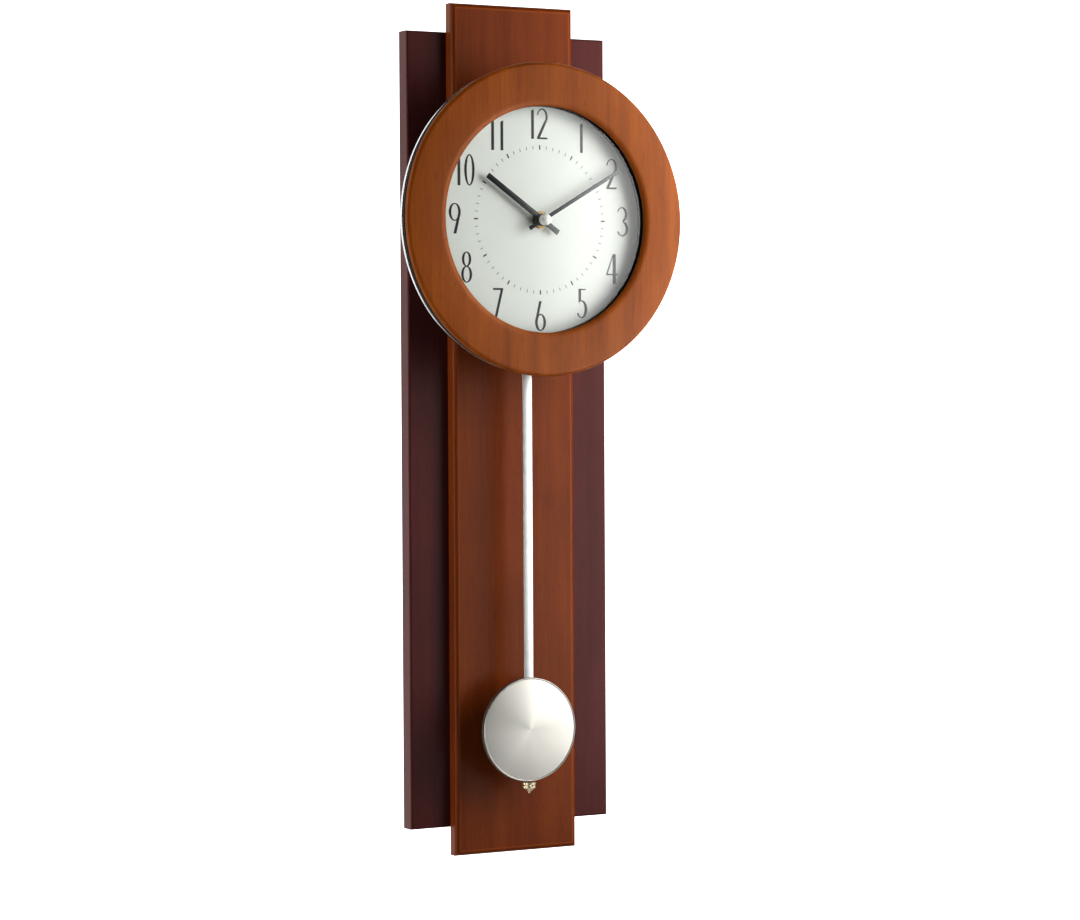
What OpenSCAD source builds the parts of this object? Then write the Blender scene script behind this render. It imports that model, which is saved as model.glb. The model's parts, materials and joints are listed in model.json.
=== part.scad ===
// Pendulum wall clock: two stacked boards, a round wooden head with a domed glass, a battery
// movement with its wheel train, and a free-hanging pendulum.
// Millimetres. +Z is up and the clock faces -Y. The origin is the middle of the hanger's keyhole,
// on the rear plane of the back board. "Depth" values count forwards (towards -Y) from that plane.

/* [Boards] */
// Height of the front board, which is the height of the clock
front_board_h = 457.2; // [440:0.1:480]
// Width of the front board
front_board_w = 74; // [72:0.5:90]
// Thickness of the front board
front_board_t = 7; // [6:0.5:10]
// Radius of the front board's rounded edges
front_board_r = 2.4; // [1:0.1:3]
// Height of the back board
back_board_h = 427; // [415:0.5:435]
// Width of the back board
back_board_w = 121; // [110:0.5:140]
// Thickness of the back board
back_board_t = 9; // [8:0.5:12]
// Radius of the back board's eased edges
back_board_r = 1; // [0.5:0.1:2]
// Height of the clock above the keyhole
hanger_below_top = 38.6; // [36:0.1:42]

/* [Head] */
// Middle of the dial below the top of the front board
dial_below_top = 116.5; // [112:0.1:125]
// Outer radius of the wooden ring
bezel_r = 83.3; // [82.9:0.1:84]
// Radius of the opening in the wooden ring
opening_r = 60; // [59.5:0.1:60.2]
// Depth of the wooden ring's face in front of the wall plane
bezel_face = 53.6; // [53.4:0.1:54]
// Radius of the wooden ring's outer front edge
bezel_edge_r = 2.2; // [1.5:0.1:2.6]
// Width of the wooden ring's inner rounding
bezel_inner_w = 3.8; // [2:0.1:5]
// Depth of the dial's face in front of the wall plane
dial_face = 45.3; // [45.3:0.1:45.3]
// Radius of the domed glass's outer surface
glass_dome_r = 300; // [290:5:330]

/* [Hands] */
// Hour shown, from 0 to 11
shown_hour = 10; // [0:1:11]
// Minute shown
shown_minute = 10; // [0:1:59]
// Length of the hour hand from its centre
hour_hand_l = 40; // [30:0.5:44]
// Width of the hour hand
hour_hand_w = 3; // [2:0.1:4]
// Length of the minute hand from its centre
minute_hand_l = 53.4; // [45:0.1:55]
// Width of the minute hand
minute_hand_w = 2; // [1.5:0.1:3]

/* [Pendulum] */
// Middle of the bob below the middle of the dial
bob_drop = 273; // [240:1:280]
// Radius of the bob
bob_r = 28; // [24:0.5:30]
// Width of the pendulum's rod
rod_w = 5.6; // [5:0.1:6]
// Depth of the rod's middle in front of the wall plane
rod_depth = 30; // [30:0.1:30]

/* [Movement] */
// Width of the movement's case
case_w = 56; // [56:1:56]
// Tooth module of the going train
train_module = 0.3; // [0.3:0.01:0.3]

/* [Hidden] */
$fn = 64;
over = 1;

// boards
board_top = hanger_below_top;
back_board_top = board_top - (front_board_h - back_board_h) / 2;
board_face = back_board_t + front_board_t;
dial_z = board_top - dial_below_top;
window_w = 59;
window_low = -23;
window_high = 33;

// hanger plate and its recess
plate_w = 40;
plate_low = -11;
plate_high = 17;
plate_t = 1.2;
keyhole_r = 5;
keyhole_slot_w = 4.5;
keyhole_slot_top = 12;
recess_depth = 7;
pad_t = 1.5;

// screws: [x, z] places
board_screw_at = [for (x = [-28, 28], z = [12, board_top - front_board_h + 34]) [x, z]];
hanger_screw_at = [[-15, 3], [15, 3]];
post_at = [for (x = [-27, 27], z = [44, -60]) [x, dial_z + z]];
bezel_screw_ring = 74.5;
bezel_screw_r = 1.1;
bezel_screw_bite = 3.6;
post_r = 4.5;

// head stack, as depths in front of the wall plane
pan_back = 44;
pan_t = 0.8;
dial_t = dial_face - pan_back - pan_t;
dial_r = 72;
pan_r = 82.5;
pan_rim_top = 46.1;
spacer_r = 82;
spacer_front = 47.4;
gasket_back = 47.9;
lip_back = 51.8;
rabbet_r = 67;
gasket_r = 66.7;
gasket_inner_r = 60.2;
flange_r = 65.5;
flange_back = 49.1;
glass_t = 1.8;
bezel_rear_r = 81;
bushing_r = 3.4;
nut_r = 4.2;
notch_r = 0.6;
washer_w = 1.2;
washer_t = 0.5;

// hand stack
bushing_top = 47.3;
hour_hand_back = 47.7;
minute_hand_back = 48.9;
hand_t = 0.5;
cap_r = 3;
cap_top = 54;
hour_angle = 30 * shown_hour + shown_minute / 2;
minute_angle = 6 * shown_minute;

// movement case
case_back = 27.2;
case_split = 35.2;
case_front = 43.2;
case_wall = 1.4;
case_face_t = 1.2;
case_top = 28;
bay_w = 36;
bay_bottom = -62;
battery_z = 19;
battery_r = 7.1;
battery_body_l = 49;
battery_depth = 34.6;
bay_floor = 11.4;
boss_r = 2.3;
case_screw_r = 0.9;
pillar_pin_r = 0.8;
case_screw_at = [for (x = [-24.6, 24.6], z = [7, -24.6]) [x, z]];
pillar_at = [[-20.5, 4], [-21.5, -16], [20.8, -9]];
train_back = 29.4;
train_t = 1;

// wheel layers, as depths of their rear faces
arbor_back = train_back - 0.2;
arbor_front = 42.3;
bush_back = 40;
arbor_step = 37.4;
centre_wheel_back = 37.8;
cannon_back = 39;
minute_wheel_back = 39.2;
hour_wheel_back = 40.6;
third_wheel_back = 36.4;
seconds_wheel_back = 35;
intermediate_wheel_back = 33.6;
rotor_pinion_back = 33.4;
rotor_magnet_back = 30.9;
knob_back = 23.6;
wheel_t = 0.8;
pinion_t = 1.2;

// wheel centres, each from the one that it meshes with, by distance and direction
function reach(from, distance, angle) = from + distance * [cos(angle), sin(angle)];
function mesh_distance(teeth_a, teeth_b, m) = (teeth_a + teeth_b) * m / 2;
m1 = train_module;
centre_teeth = 64;
cannon_teeth = 16;
minute_teeth = 48;
minute_pinion_teeth = 12;
hour_teeth = 48;
third_teeth = 60;
small_pinion_teeth = 8;
seconds_teeth = 50;
fifth_pinion_teeth = 10;
intermediate_teeth = 36;
rotor_teeth = 6;
setting_teeth = 12;
centre_at = [0, 0];
motion_distance = mesh_distance(cannon_teeth, minute_teeth, m1);
m2 = 2 * motion_distance / (minute_pinion_teeth + hour_teeth);
minute_dir = 200;
minute_at = reach(centre_at, motion_distance, minute_dir);
setting_dir = 235;
setting_at = reach(minute_at, mesh_distance(minute_teeth, setting_teeth, m1), setting_dir);
third_dir = -35;
third_at = reach(centre_at, mesh_distance(centre_teeth, small_pinion_teeth, m1), third_dir);
seconds_dir = -100;
seconds_at = reach(third_at, mesh_distance(third_teeth, small_pinion_teeth, m1), seconds_dir);
intermediate_dir = 190;
intermediate_distance = mesh_distance(seconds_teeth, fifth_pinion_teeth, m1);
intermediate_at = reach(seconds_at, intermediate_distance, intermediate_dir);
rotor_dir = 190;
rotor_at = reach(intermediate_at, mesh_distance(intermediate_teeth, rotor_teeth, m1), rotor_dir);
arbor_r = 0.5;
running = 0.06;
thin_arbor_r = 0.6;
rotor_arbor_r = 0.35;
setting_arbor_r = 0.8;
minute_arbor_r = 1.6;
hour_pipe_r = 2.5;

// motor
stator_back = 31.2;
stator_t = 0.8;
stator_ring_r = 3.6;
coil_z = -24.3;
coil_from = -13.8;
coil_l = 12.6;

// pendulum
pivot_z = -34;
pivot_r = 0.9;
hanger_back = 30.7;
hanger_t = 2;
drive_coil_back = 36.4;
magnet_z = -52;
hook_z = -56.5;
rod_t = 1;
rod_top = -53;
rod_bottom = -296;
bob_z = -bob_drop;
bob_rim_back = 28.6;
bob_rim_front = 31.4;
bob_crown = 1;
bob_skin = 0.5;
guide_half = 0.9;
rating_screw_r = 0.8;
nut_top = -301.3;

// A flat piece: a drawing in X and Z, from depth "back" forwards by "thick"
module slab(back, thick) {
    translate([0, -back, 0]) rotate([90, 0, 0]) linear_extrude(height = thick) children();
}

// A round bar or hole along Y at place "at" (X and Z), from depth "back" forwards
module bar(at, back, length, r) {
    translate([at[0], -back, at[1]]) rotate([90, 0, 0]) cylinder(h = length, r = r);
}

// A turned piece: its profile's X is the radius and its Y is the depth
module turned() {
    rotate([90, 0, 0]) rotate_extrude($fn = 128) children();
}

// Moves a piece from the dial's middle to its place on the clock
module at_dial() {
    translate([0, 0, dial_z]) children();
}

// A rectangle in X and Z with round corners
module rounded(low, high, r) {
    size = high - low;
    translate(low + [r, 0]) square([size[0] - 2 * r, size[1]]);
    translate(low + [0, r]) square([size[0], size[1] - 2 * r]);
    for (x = [low[0] + r, high[0] - r], z = [low[1] + r, high[1] - r])
        translate([x, z]) circle(r = r);
}

// A quarter of an ellipse, as points
function quarter(centre, rx, ry, from, to, steps = 8) =
    [for (i = [0:steps]) let (a = from + (to - from) * i / steps)
        centre + [rx * cos(a), ry * sin(a)]];

// A board whose four front edges are rounded: the crossing of its two outlines
module board(width, bottom, top, back, thick, r) {
    intersection() {
        translate([0, 0, bottom]) linear_extrude(height = top - bottom) union() {
            translate([-width / 2, -back - thick + r]) square([width, thick - r]);
            translate([-width / 2 + r, -back - thick]) square([width - 2 * r, thick]);
            for (x = [-width / 2 + r, width / 2 - r])
                translate([x, -back - thick + r]) circle(r = r);
        }
        rotate([90, 0, 90]) translate([0, 0, -width / 2]) linear_extrude(height = width) union() {
            translate([-back - thick + r, bottom]) square([thick - r, top - bottom]);
            translate([-back - thick, bottom + r]) square([thick, top - bottom - 2 * r]);
            for (z = [bottom + r, top - r]) translate([-back - thick + r, z]) circle(r = r);
        }
    }
}

// A countersunk screw whose head is flush at depth "back", running forwards
module flat_screw(at, back, length, head_r, shank_r) {
    head_h = head_r - shank_r;
    translate([at[0], -back, at[1]]) rotate([90, 0, 0]) {
        cylinder(h = head_h, r1 = head_r, r2 = shank_r);
        cylinder(h = length, r = shank_r);
    }
}

// A cross recess in a screw's head at depth "back", cut forwards
module cross_recess(at, back, size, deep) {
    for (turn = [0, 90]) translate([at[0], -back, at[1]]) rotate([0, turn, 0])
        translate([-size / 2, -deep, -size / 8]) cube([size, deep + 0.01, size / 4]);
}

// A toothed wheel's outline, with one tooth pointing in direction "turn"
module teeth(count, m, turn) {
    pitch_r = count * m / 2;
    step = 360 / count;
    root = pitch_r - 0.9 * m;
    tip = pitch_r + 0.55 * m;
    wide = 0.27 * step;
    slim = 0.1 * step;
    polygon([for (i = [0:count - 1], e = [[root, -wide], [tip, -slim], [tip, slim], [root, wide]])
        e[0] * [cos(turn + i * step + e[1]), sin(turn + i * step + e[1])]]);
}

// A wheel of "thick" at depth "back", with a bore
module wheel(at, back, thick, count, m, turn, bore) {
    translate([at[0], 0, at[1]]) slab(back, thick) difference() {
        teeth(count, m, turn);
        circle(r = bore);
    }
}

// A wheel with four round openings in its web
module spoked_wheel(at, back, thick, count, m, turn, bore) {
    web = count * m / 4 + 0.3;
    difference() {
        wheel(at, back, thick, count, m, turn, bore);
        for (a = [0:90:270])
            bar(at + web * [cos(a + turn), sin(a + turn)], back - over, thick + 2 * over, web / 3.4);
    }
}

module window_cut() {
    at_dial() slab(-over, board_face + 2 * over)
        rounded([-window_w / 2, window_low], [window_w / 2, window_high], 3);
}

module post_screw_shapes() {
    for (p = post_at) flat_screw(p, 0, board_face + 8, 4, 2);
}

module board_screw_shapes() {
    for (p = board_screw_at) flat_screw(p, 0, board_face - 2, 3.5, 1.75);
}

module hanger_screw_shapes() {
    for (p = hanger_screw_at) flat_screw(p, 0, 6.5, 2.4, 1.4);
}

module front_screw_shapes() {
    for (p = post_at) mirror([0, 1, 0]) flat_screw(p, -pan_back - pan_t, 9, 3.4, 1.8);
}

module back_board() {
    color("#3b1d1f") difference() {
        board(back_board_w, back_board_top - back_board_h, back_board_top,
            0, back_board_t, back_board_r);
        window_cut();
        slab(-over, plate_t + over)
            rounded([-plate_w / 2, plate_low], [plate_w / 2, plate_high], 3);
        slab(plate_t - 0.01, recess_depth - plate_t) rounded([-6.5, -6.5], [6.5, 15], 2);
        board_screw_shapes();
        post_screw_shapes();
        hanger_screw_shapes();
    }
}

module front_board() {
    color("#7a3a1c") difference() {
        board(front_board_w, board_top - front_board_h, board_top,
            back_board_t, front_board_t, front_board_r);
        window_cut();
        board_screw_shapes();
        post_screw_shapes();
    }
}

module board_screws() {
    color("#b9a36a") difference() {
        board_screw_shapes();
        for (p = board_screw_at) cross_recess(p, 0, 3.6, 1.2);
    }
}

module hanger_plate() {
    color("#b8bcc0") difference() {
        slab(0, plate_t)
            rounded([-plate_w / 2 + 0.2, plate_low + 0.2], [plate_w / 2 - 0.2, plate_high - 0.2], 2.8);
        bar([0, 0], -over, plate_t + 2 * over, keyhole_r);
        slab(-over, plate_t + 2 * over)
            translate([-keyhole_slot_w / 2, 0]) square([keyhole_slot_w, keyhole_slot_top]);
        bar([0, keyhole_slot_top], -over, plate_t + 2 * over, keyhole_slot_w / 2);
        hanger_screw_shapes();
    }
}

module hanger_screws() {
    color("#b9a36a") difference() {
        hanger_screw_shapes();
        for (p = hanger_screw_at) cross_recess(p, 0, 2.6, 0.8);
    }
}

module wall_pads() {
    color("#1c1c1c") for (x = [-48, 48])
        bar([x, back_board_top - back_board_h + 14], -pad_t, pad_t, 6);
}

module standoff_posts() {
    color("#1d1d1f") difference() {
        for (p = post_at) bar(p, board_face, pan_back - board_face, post_r);
        post_screw_shapes();
        front_screw_shapes();
    }
}

module post_rear_screws() {
    color("#b9a36a") difference() {
        post_screw_shapes();
        for (p = post_at) cross_recess(p, 0, 4, 1.4);
    }
}

module post_front_screws() {
    color("#a8abae") difference() {
        front_screw_shapes();
        for (p = post_at) cross_recess(p, pan_back + pan_t - 1, 3.4, 1.2);
    }
}

module bezel_profile() {
    flat_r = bezel_r - bezel_edge_r;
    edge = quarter([flat_r, bezel_face - bezel_edge_r], bezel_edge_r, bezel_edge_r, 0, 90);
    inner_low = lip_back + 0.3;
    inner = quarter([opening_r + bezel_inner_w, inner_low],
        bezel_inner_w, bezel_face - inner_low, 90, 180);
    polygon(concat([[bezel_rear_r, spacer_front]], edge, inner,
        [[opening_r, lip_back], [rabbet_r, lip_back], [rabbet_r, spacer_front]]));
}

module bezel_screw_shafts(back, length, r) {
    for (a = [0:60:300]) bar(bezel_screw_ring * [cos(a), sin(a)], back, length, r);
}

module bezel_ring() {
    color("#a85a2a") at_dial() difference() {
        turned() bezel_profile();
        bezel_screw_shafts(spacer_front - over, over + bezel_screw_bite, bezel_screw_r);
    }
}

module bezel_screws() {
    color("#a8abae") at_dial() {
        bezel_screw_shafts(pan_back - 1.2, 1.2, 2 * bezel_screw_r);
        bezel_screw_shafts(pan_back, spacer_front + bezel_screw_bite - pan_back, bezel_screw_r);
    }
}

// The glass: a flat ring-shaped flange and a dome of even thickness inside it
module lens_profile() {
    crown_r = gasket_inner_r;
    outer_drop = glass_dome_r - sqrt(glass_dome_r * glass_dome_r - crown_r * crown_r);
    steps = 16;
    front = flange_back + glass_t;
    function rise(r) = outer_drop - (glass_dome_r - sqrt(glass_dome_r * glass_dome_r - r * r));
    polygon(concat([for (i = [0:steps]) let (r = crown_r * i / steps) [r, front + rise(r)]],
        [[flange_r, front], [flange_r, flange_back]],
        [for (i = [steps:-1:0]) let (r = crown_r * i / steps) [r, flange_back + rise(r)]]));
}

module lens() {
    color([0.9, 0.95, 0.95, 0.3]) at_dial() turned() lens_profile();
}

module lens_gasket() {
    color("#151515") at_dial() turned() difference() {
        translate([gasket_inner_r, gasket_back])
            square([gasket_r - gasket_inner_r, lip_back - gasket_back]);
        translate([gasket_inner_r - over, flange_back])
            square([flange_r - gasket_inner_r + over, glass_t]);
    }
}

module spacer_ring() {
    color("#161616") at_dial() difference() {
        turned() union() {
            translate([gasket_inner_r, dial_face])
                square([spacer_r - gasket_inner_r, spacer_front - dial_face]);
            translate([gasket_inner_r, dial_face])
                square([gasket_r - gasket_inner_r, gasket_back - dial_face]);
        }
        bezel_screw_shafts(dial_face - over, spacer_front - dial_face + 2 * over, bezel_screw_r);
    }
}

module head_pan() {
    color("#c9ccd0") difference() {
        at_dial() turned() union() {
            translate([bushing_r, pan_back]) square([pan_r - bushing_r, pan_t]);
            translate([dial_r + 0.2, pan_back])
                square([pan_r - dial_r - 0.2, dial_face - pan_back]);
            translate([spacer_r, pan_back]) square([pan_r - spacer_r, pan_rim_top - pan_back]);
        }
        at_dial()
            bezel_screw_shafts(pan_back - over, dial_face - pan_back + 2 * over, bezel_screw_r);
        front_screw_shapes();
    }
}

module dial_plate() {
    color("#e8e9e5") at_dial() turned()
        translate([bushing_r, dial_face - dial_t]) square([dial_r - bushing_r, dial_t]);
}

module baton(length, tail, width, hub_r, bore) {
    difference() {
        union() {
            translate([-width / 2, -tail]) square([width, length + tail]);
            circle(r = hub_r);
        }
        circle(r = bore);
    }
}

module hour_hand() {
    color("#2c2c30") at_dial() slab(hour_hand_back, hand_t) rotate(-hour_angle)
        baton(hour_hand_l, 11.8, hour_hand_w, 3.4, hour_pipe_r);
}

module minute_hand() {
    color("#2c2c30") at_dial() slab(minute_hand_back, hand_t) rotate(-minute_angle)
        baton(minute_hand_l, 9.6, minute_hand_w, 2.7, minute_arbor_r);
}

module cap_nut() {
    back = minute_hand_back + hand_t;
    crown = quarter([0, cap_top - 2], cap_r, 2, 0, 90);
    color("#d8d6cc") at_dial() difference() {
        turned() polygon(concat([[0, back], [cap_r, back]], crown));
        bar(centre_at, back - over, 1.4 + over, minute_arbor_r);
    }
}

module bushing_nut() {
    back = dial_face + washer_t;
    color("#b08d4a") at_dial() difference() {
        bar(centre_at, back, bushing_top - back, nut_r);
        bar(centre_at, dial_face, 3, bushing_r);
        for (a = [0:45:315]) bar((nut_r + 0.3) * [cos(a), sin(a)], dial_face, 3, notch_r);
    }
}

module brass_washer() {
    color("#c2a05a") at_dial() turned() translate([bushing_r, dial_face]) square([washer_w, washer_t]);
}

module rubber_washer() {
    color("#1a1a1a") at_dial() turned()
        translate([bushing_r, case_front]) square([6, pan_back - case_front]);
}

// The case's outline: the square movement above and the pendulum's bay below
module case_outline(inset) {
    half = case_w / 2 - inset;
    bay = bay_w / 2 - inset;
    rounded([-half, -case_top + inset], [half, case_top - inset], 2);
    rounded([-bay, bay_bottom + inset], [bay, -case_top + inset + 4], 2);
}

// The outline's inside, divided by the battery bay's floor and the pendulum bay's roof
module case_rooms() {
    half = case_w / 2 - case_wall;
    bay = bay_w / 2 - case_wall;
    rounded([-half, bay_floor], [half, case_top - case_wall], 1);
    rounded([-half, -case_top + case_wall], [half, bay_floor - case_face_t], 1);
    rounded([-bay, bay_bottom + case_wall], [bay, -case_top - 0.2], 1);
}

module front_case() {
    inner = case_front - case_face_t;
    color("#232326") at_dial() difference() {
        union() {
            difference() {
                slab(case_split, case_front - case_split) case_outline(0);
                slab(case_split - over, inner - case_split + over) case_rooms();
            }
            for (p = case_screw_at) bar(p, case_split, inner - case_split + 0.5, boss_r);
            for (p = pillar_at) {
                bar(p, train_back + train_t, inner - train_back - train_t + 0.5, 2 * pillar_pin_r);
                bar(p, train_back, 3, pillar_pin_r);
            }
            for (p = [third_at, seconds_at, intermediate_at, rotor_at, setting_at])
                bar(p, bush_back + 1, 1.5, 1.5);
            bar(minute_at, minute_wheel_back - 0.3, 3.5, thin_arbor_r);
            bar(centre_at, case_front - 0.5, bushing_top - case_front + 0.5, bushing_r);
        }
        bar(centre_at, inner - over, bushing_top - inner + 2 * over, hour_pipe_r + running);
        for (p = case_screw_at) bar(p, case_split - over, 6, case_screw_r);
        for (p = [third_at, seconds_at, intermediate_at]) bar(p, bush_back, 2.5, arbor_r + running);
        bar(rotor_at, bush_back, 2.5, rotor_arbor_r + running);
        bar(setting_at, bush_back, 2.5, setting_arbor_r + running);
        bar([0, pivot_z], inner - over, over + 0.6, pivot_r);
    }
}

module rear_case() {
    inner = case_back + case_face_t;
    color("#232326") at_dial() difference() {
        union() {
            difference() {
                slab(case_back, case_split - case_back) case_outline(0);
                slab(inner, case_split - inner + over) case_rooms();
            }
            for (p = case_screw_at) bar(p, inner - 0.5, case_split - inner + 0.5, boss_r);
        }
        // battery opening
        slab(case_back - over, 2 + 2 * over) rounded(
            [-case_w / 2 + case_wall + 0.4, bay_floor + 0.2],
            [case_w / 2 - case_wall - 0.4, case_top - case_wall - 0.2], 1);
        // slot for the swinging rod, in the bay's floor
        slab(inner, 6) translate([-10.5, bay_bottom - over]) square([21, 4]);
        for (p = case_screw_at) bar(p, case_back - over, 10, case_screw_r);
        bar(setting_at, case_back - over, 4, 1.2);
        bar([0, pivot_z], inner - 0.6, 2, pivot_r);
    }
}

module case_screws() {
    color("#9a9da0") at_dial() for (p = case_screw_at) {
        bar(p, case_back - 1.2, 1.2, 2 * case_screw_r);
        bar(p, case_back, 12.5, case_screw_r);
    }
}

module train_plate() {
    color("#e6e4dc") at_dial() difference() {
        slab(train_back, train_t) rounded([-22.4, -21.8], [22.4, 9.6], 2);
        for (p = pillar_at) bar(p, train_back - over, 3, pillar_pin_r);
        for (p = [third_at, seconds_at, intermediate_at])
            bar(p, train_back - over, 3, arbor_r + running);
        bar(rotor_at, train_back - over, 3, rotor_arbor_r + running);
        bar(centre_at, train_back - over, 3, thin_arbor_r + running);
        bar(setting_at, train_back - over, 3, setting_arbor_r + running);
    }
}

module centre_arbor() {
    color("#b7bbc0") at_dial() {
        bar(centre_at, arbor_step, minute_hand_back + 1.7 - arbor_step, minute_arbor_r);
        bar(centre_at, arbor_back, arbor_step - arbor_back, thin_arbor_r);
        wheel(centre_at, cannon_back, pinion_t, cannon_teeth, m1, minute_dir, minute_arbor_r);
    }
}

module centre_wheel() {
    color("#c9a455") at_dial() spoked_wheel(centre_at, centre_wheel_back, wheel_t,
        centre_teeth, m1, third_dir, minute_arbor_r);
}

module hour_wheel() {
    color("#e9e5d8") at_dial() {
        wheel(centre_at, hour_wheel_back, pinion_t, hour_teeth, m2, minute_dir, hour_pipe_r);
        difference() {
            bar(centre_at, hour_wheel_back, hour_hand_back + hand_t - hour_wheel_back, hour_pipe_r);
            bar(centre_at, hour_wheel_back - over, 10, minute_arbor_r + running);
        }
    }
}

module minute_wheel() {
    back_turn = minute_dir + 180;
    color("#e9e5d8") at_dial() {
        wheel(minute_at, minute_wheel_back, wheel_t,
            minute_teeth, m1, back_turn + 180 / minute_teeth, thin_arbor_r + running);
        wheel(minute_at, minute_wheel_back + wheel_t, 1.8,
            minute_pinion_teeth, m2, back_turn + 180 / minute_pinion_teeth, thin_arbor_r + running);
    }
}

// A wheel and pinion on one arbor, which runs between the front shell and the bridge
module train_wheel(at, back, teeth_n, wheel_turn, pinion_n, pinion_turn) {
    bar(at, arbor_back, arbor_front - arbor_back, arbor_r);
    wheel(at, back, wheel_t, teeth_n, m1, wheel_turn, arbor_r);
    wheel(at, back + pinion_t, pinion_t, pinion_n, m1, pinion_turn, arbor_r);
}

module third_wheel() {
    color("#c9a455") at_dial() train_wheel(third_at, third_wheel_back,
        third_teeth, seconds_dir, small_pinion_teeth, third_dir + 180 + 180 / small_pinion_teeth);
}

module seconds_wheel() {
    color("#e9e5d8") at_dial() train_wheel(seconds_at, seconds_wheel_back, seconds_teeth,
        intermediate_dir, small_pinion_teeth, seconds_dir + 180 + 180 / small_pinion_teeth);
}

module intermediate_wheel() {
    color("#e9e5d8") at_dial() train_wheel(intermediate_at, intermediate_wheel_back,
        intermediate_teeth, rotor_dir,
        fifth_pinion_teeth, intermediate_dir + 180 + 180 / fifth_pinion_teeth);
}

module rotor_shaft() {
    color("#d9d6cc") at_dial() {
        bar(rotor_at, arbor_back, arbor_front - arbor_back, rotor_arbor_r);
        wheel(rotor_at, rotor_pinion_back, pinion_t,
            rotor_teeth, m1, rotor_dir + 180 + 180 / rotor_teeth, rotor_arbor_r);
    }
}

module rotor_magnet() {
    color("#3a3a3e") at_dial() difference() {
        bar(rotor_at, rotor_magnet_back, 1.6, 2.2);
        bar(rotor_at, rotor_magnet_back - over, 4, rotor_arbor_r);
    }
}

module stator_core() {
    slab(stator_back, stator_t) translate([-17.5, coil_z - 1.2]) square([20, 2.4]);
}

module stator() {
    color("#8f9296") at_dial() {
        stator_core();
        difference() {
            slab(stator_back, stator_t) union() {
                translate([-17.5, coil_z + 1.2]) square([3, -17.4 - coil_z - 1.2]);
                translate([-17.5, -20.4]) square([9.5, 3]);
                translate([-0.5, coil_z + 1.2]) square([3, -19 - coil_z - 1.2]);
                translate([-8, -21.5]) square([10, 2.5]);
                translate(rotor_at) circle(r = stator_ring_r);
            }
            bar(rotor_at, stator_back - over, 4, 2.7);
        }
    }
}

module motor_coil() {
    color("#b5622c") at_dial() difference() {
        translate([coil_from, -stator_back - stator_t / 2, coil_z]) rotate([0, 90, 0])
            cylinder(h = coil_l, r = 1.7);
        stator_core();
    }
}

module setting_arbor() {
    color("#e9e5d8") at_dial() {
        bar(setting_at, knob_back + 0.6, arbor_front - knob_back - 0.6, setting_arbor_r);
        wheel(setting_at, cannon_back, pinion_t,
            setting_teeth, m1, setting_dir + 180 + 180 / setting_teeth, setting_arbor_r);
    }
}

module setting_knob() {
    color("#1f1f22") at_dial() difference() {
        bar(setting_at, knob_back, 3, 5);
        bar(setting_at, knob_back + 0.6, 4, setting_arbor_r);
        for (a = [0:15:345]) bar(setting_at + 5.2 * [cos(a), sin(a)], knob_back - over, 5, 0.45);
    }
}

module circuit_board() {
    color("#2f6b3a") at_dial() slab(40.2, 1) translate([11, -26]) square([7.6, 32]);
}

module quartz_crystal() {
    color("#c9ccd0") at_dial() translate([15, -39.1, -22]) cylinder(h = 6, r = 1);
}

module battery() {
    color("#2c4a63") at_dial() translate([-25, -battery_depth, battery_z]) rotate([0, 90, 0]) {
        cylinder(h = battery_body_l, r = battery_r);
        cylinder(h = battery_body_l + 1.3, r = 2.7);
    }
}

module contact_positive() {
    color("#c9ccd0") at_dial() translate([25.9, -40, battery_z - 4]) cube([0.5, 9, 8]);
}

module contact_negative() {
    color("#c9ccd0") at_dial() {
        translate([-26.5, -40, battery_z - 4.5]) cube([0.4, 9, 9]);
        translate([-26.1, -battery_depth, battery_z]) rotate([0, 90, 0])
            cylinder(h = 0.9, r1 = 4.2, r2 = 2.6);
    }
}

module pivot_pin() {
    color("#c9ccd0") at_dial() bar([0, pivot_z], case_back + 0.6, case_front - case_back - 1.2, pivot_r);
}

module pendulum_hanger() {
    color("#e9e5d8") at_dial() difference() {
        union() {
            slab(hanger_back, hanger_t) translate([-2.5, -59]) square([5, 25]);
            bar([0, magnet_z], hanger_back, hanger_t, 4.5);
            bar([0, pivot_z], hanger_back - 1.7, 5.8, 3);
            bar([0, hook_z], hanger_back - 1.5, hanger_t, 1.1);
            bar([0, hook_z], hanger_back - 1.9, 0.5, 1.6);
        }
        bar([0, pivot_z], hanger_back - 3, 8, pivot_r + running);
    }
}

module hanger_magnet() {
    color("#8f9296") at_dial() bar([0, magnet_z], hanger_back + hanger_t, 1.5, 3.5);
}

module drive_coil() {
    color("#b5622c") at_dial() difference() {
        bar([0, magnet_z], drive_coil_back, case_front - case_face_t - drive_coil_back, 6);
        bar([0, magnet_z], drive_coil_back - over, 8, 1.5);
    }
}

module pendulum_rod() {
    color("#dfe1e2") at_dial() difference() {
        slab(rod_depth - rod_t / 2, rod_t) rounded([-rod_w / 2, rod_bottom], [rod_w / 2, rod_top], 1);
        bar([0, hook_z], rod_depth - 2, 4, 1.15);
    }
}

module bob_front() {
    ball = (bob_r * bob_r + bob_crown * bob_crown) / (2 * bob_crown);
    steps = 8;
    function crown(r) = bob_rim_front - (ball - bob_crown) + sqrt(ball * ball - r * r);
    inner_r = bob_r - bob_skin;
    edge = quarter([bob_r - 0.6, bob_rim_front - 0.5], 0.6, 0.6, 0, 80, 4);
    color("#dcdad4") at_dial() translate([0, 0, bob_z]) difference() {
        turned() polygon(concat([[bob_r, bob_rim_back]], edge,
            [for (i = [steps - 1:-1:0]) let (r = bob_r * i / steps) [r, crown(r)]],
            [for (i = [0:steps]) let (r = inner_r * i / steps) [r, crown(r) - bob_skin]],
            [[inner_r, bob_rim_back]]));
        slab(bob_rim_back - over, rod_depth + guide_half - bob_rim_back + over)
            translate([-rod_w / 2 - 0.2, -bob_r - 1]) square([rod_w + 0.4, 2 * bob_r + 2]);
    }
}

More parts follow.
